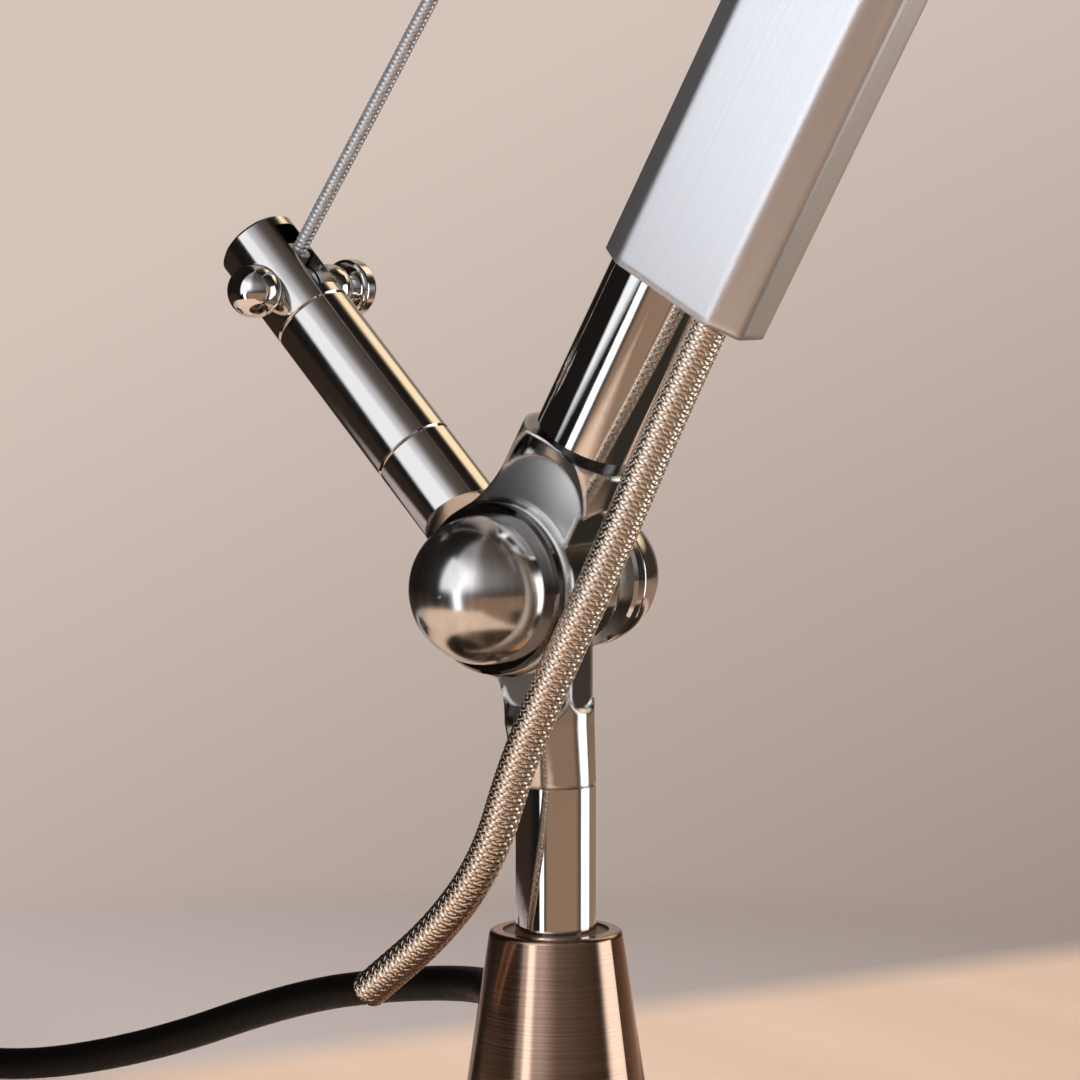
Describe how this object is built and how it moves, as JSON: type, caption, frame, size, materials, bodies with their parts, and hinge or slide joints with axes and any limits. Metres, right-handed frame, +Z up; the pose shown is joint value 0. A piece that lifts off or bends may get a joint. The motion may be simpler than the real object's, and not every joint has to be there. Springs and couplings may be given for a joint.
{
  "type": "led desk lamp",
  "caption": "Desk lamp with a round foot, a swivel stem, a tilting arm with a lever and stay wire that keep the LED head level, a braided lead and a coiled mains lead.",
  "frame": {"origin": "centre of the underside of the foot, on the surface that the lamp stands on", "axes": "+Z up along the stem, +X the way that the arm leans and the head points, hinges of the arm along Y"},
  "size_m": [0.812, 0.185, 0.46],
  "materials": {
    "bronze_steel": "fine lengthwise brushing, bronze tint, satin",
    "chrome": "mirror polished chrome",
    "nickel": "polished dark nickel",
    "dark_steel": "satin dark steel",
    "inner_steel": "turned steel, hidden",
    "brushed_aluminium": "brushed along its length",
    "wound_wire": "close wound steel wire",
    "steel_braid": "woven steel braid",
    "black_rubber": "smooth matt black",
    "pad_felt": "dense matt pad",
    "black_plastic": "fine matt moulding",
    "bush_polymer": "turned polymer",
    "core_insulation": "smooth insulation",
    "pin_brass": "bright brass",
    "board_white": "white solder mask",
    "chip_yellow": "silicone over the LED",
    "diffuser_opal": "milky, smooth",
    "button_metal": "satin metal"
  },
  "bodies": {
    "base": {"base_plate": "bronze_steel", "foot_pad": "pad_felt", "neck_cone": "bronze_steel", "neck_screws": "inner_steel", "upper_bush": "bush_polymer", "lower_cup": "bush_polymer", "cord_gland": "black_rubber", "supply_lead": "black_rubber", "lead_coil": "black_rubber", "coil_tie": "black_plastic", "plug_body": "black_plastic", "plug_pins": "pin_brass"},
    "stem": {"stem": "chrome", "stem_ring": "inner_steel", "core_wires": "core_insulation", "lower_knuckle": "chrome", "hinge_axle": "inner_steel", "knob_bezel": "nickel", "dome_nut": "chrome", "friction_washer": "bush_polymer", "lever_root": "chrome", "lever_rod": "chrome", "lever_cap": "chrome", "cross_pin": "chrome", "pin_nut": "chrome"},
    "ball_knob": {"ball_knob": "nickel"},
    "arm": {"upper_knuckle": "chrome", "seat_ring": "dark_steel", "arm_tube": "chrome", "arm_profile": "brushed_aluminium", "end_insert": "bush_polymer", "lead_grommet": "black_rubber", "braided_lead": "steel_braid", "lead_ferrule": "steel_braid", "top_block": "chrome", "block_screws": "inner_steel"},
    "wire": {"stay_wire": "wound_wire", "lower_anchor": "inner_steel", "upper_anchor": "inner_steel"},
    "head": {"head_yoke": "chrome", "head_axle": "inner_steel", "head_bezel": "nickel", "head_dome_nut": "chrome", "head_profile": "brushed_aluminium", "led_board": "board_white", "led_chips": "chip_yellow", "diffuser": "diffuser_opal", "head_end_cap": "chrome", "switch_body": "black_plastic", "tail_rod": "chrome", "tail_cap": "chrome", "tail_pin": "chrome", "tail_nut": "chrome"},
    "head_knob": {"head_knob": "nickel"},
    "push_button": {"push_button": "button_metal"}
  },
  "joints": [
    {"name": "stem_swivel", "type": "hinge", "parent": "base", "child": "stem", "pos_m": [0, 0, 0.065], "axis": [0, 0, 1], "range_deg": [-160, 160]},
    {"name": "arm_tilt", "type": "hinge", "parent": "stem", "child": "arm", "pos_m": [0, -0.011, 0.1215], "axis": [0, 1, 0], "range_deg": [-9, 34]},
    {"name": "wire_swing", "type": "hinge", "parent": "stem", "child": "wire", "pos_m": [-0.04529, -0.011, 0.16743], "axis": [0, 1, 0], "range_deg": [-15, 35]},
    {"name": "head_level", "type": "hinge", "parent": "arm", "child": "head", "pos_m": [0.19209, -0.011, 0.40204], "axis": [0, 1, 0], "range_deg": [-35, 15]},
    {"name": "lower_knob_turn", "type": "hinge", "parent": "stem", "child": "ball_knob", "pos_m": [0, -0.011, 0.1215], "axis": [0, 1, 0], "range_deg": [-60, 60]},
    {"name": "upper_knob_turn", "type": "hinge", "parent": "head", "child": "head_knob", "pos_m": [0.19209, -0.011, 0.40204], "axis": [0, 1, 0], "range_deg": [-60, 60]},
    {"name": "button_press", "type": "slide", "parent": "head", "child": "push_button", "axis": [0, 0, -1], "range_m": [0, 0.001], "stiffness_N_per_m": 1500}
  ],
  "couplings": [
    {"joint": "wire_swing", "follows": "arm_tilt", "ratio": 1},
    {"joint": "head_level", "follows": "arm_tilt", "ratio": -1}
  ]
}
